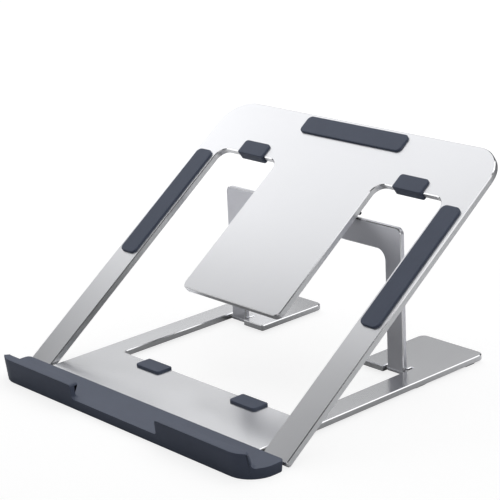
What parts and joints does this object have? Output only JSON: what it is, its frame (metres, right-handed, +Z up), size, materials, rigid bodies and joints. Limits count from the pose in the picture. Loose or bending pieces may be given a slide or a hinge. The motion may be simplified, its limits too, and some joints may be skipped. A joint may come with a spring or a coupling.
{
  "type": "laptop stand",
  "caption": "folding laptop stand: a slotted tray on two arms leans on an upright arch, over a flat U-shaped base with a lipped soft stop bar in front",
  "frame": {"origin": "middle of the bounding box, on the table plane under the foot pads", "axes": "+X to the right along the stop bar, +Y from the stop bar to the rear, +Z up"},
  "size_m": [0.25, 0.223, 0.1414],
  "materials": {
    "base_aluminium": "bead-blasted satin anodised, polished chamfers",
    "tray_aluminium": "bead-blasted satin anodised, polished chamfers",
    "arch_aluminium": "bead-blasted satin anodised",
    "bar_silicone": "smooth matt silicone",
    "pad_silicone": "smooth matt silicone",
    "foot_silicone": "matt silicone",
    "strip_rubber": "matt rubber",
    "pin_steel": "ground",
    "washer_steel": "ground",
    "screw_steel": "satin",
    "spacer_polymer": "moulded, matt"
  },
  "bodies": {
    "base": {"arch_hinge_pin_left": "pin_steel", "arch_hinge_pin_right": "pin_steel", "bar_screw_1": "screw_steel", "bar_screw_2": "screw_steel", "bar_screw_3": "screw_steel", "bar_screw_4": "screw_steel", "base_clip_left": "pad_silicone", "base_clip_right": "pad_silicone", "base_plate": "base_aluminium", "foot_pad_front_left": "foot_silicone", "foot_pad_front_right": "foot_silicone", "foot_pad_middle_left": "foot_silicone", "foot_pad_middle_right": "foot_silicone", "foot_pad_rear_left": "foot_silicone", "foot_pad_rear_right": "foot_silicone", "front_stop_bar": "bar_silicone", "hinge_washer_inner_left": "washer_steel", "hinge_washer_inner_right": "washer_steel", "hinge_washer_outer_left": "washer_steel", "hinge_washer_outer_right": "washer_steel", "tray_pivot_pin_left": "pin_steel", "tray_pivot_pin_right": "pin_steel", "tray_pivot_spacer_left": "spacer_polymer", "tray_pivot_spacer_right": "spacer_polymer"},
    "tray": {"arch_rest_strip": "strip_rubber", "arm_pad_left": "pad_silicone", "arm_pad_right": "pad_silicone", "top_pad": "pad_silicone", "tray_clip_left": "pad_silicone", "tray_clip_right": "pad_silicone", "tray_plate": "tray_aluminium"},
    "arch": {"support_arch": "arch_aluminium"}
  },
  "joints": [
    {"name": "tray_tilt", "type": "hinge", "parent": "base", "child": "tray", "pos_m": [0, -0.08102, 0.0036], "axis": [1, 0, 0], "range_deg": [0, 60]},
    {"name": "arch_fold", "type": "hinge", "parent": "base", "child": "arch", "pos_m": [0, 0.05793, 0.0036], "axis": [1, 0, 0], "range_deg": [0, 90]}
  ],
  "couplings": [
    {"joint": "arch_fold", "follows": "tray_tilt", "ratio": 1.5}
  ]
}
